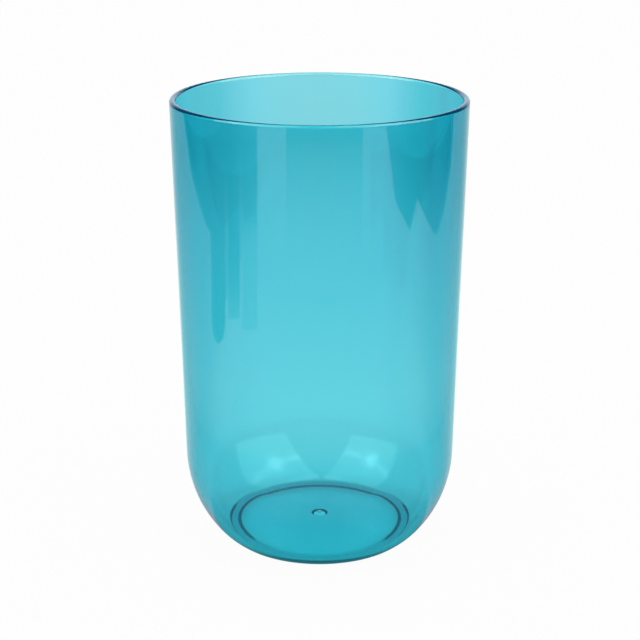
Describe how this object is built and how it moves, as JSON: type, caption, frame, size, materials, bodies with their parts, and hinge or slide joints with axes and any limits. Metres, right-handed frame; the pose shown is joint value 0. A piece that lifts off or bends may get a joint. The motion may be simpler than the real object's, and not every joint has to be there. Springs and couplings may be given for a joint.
{
  "type": "mouth rinse cup",
  "caption": "Clear tinted plastic tumbler with a rounded lip, a slightly tapered wall and a deep rounded bottom on a narrow foot ring.",
  "frame": {"origin": "centre of the foot ring, on the surface the cup stands on", "axes": "+Z along the axis of the cup, towards its mouth; the cup is round, so +X and +Y are free"},
  "size_m": [0.0756, 0.0756, 0.118],
  "materials": {
    "clear_plastic": "transparent, polished, tinted teal through its thickness"
  },
  "bodies": {
    "root": {"rinse_cup": "clear_plastic"}
  },
  "joints": []
}
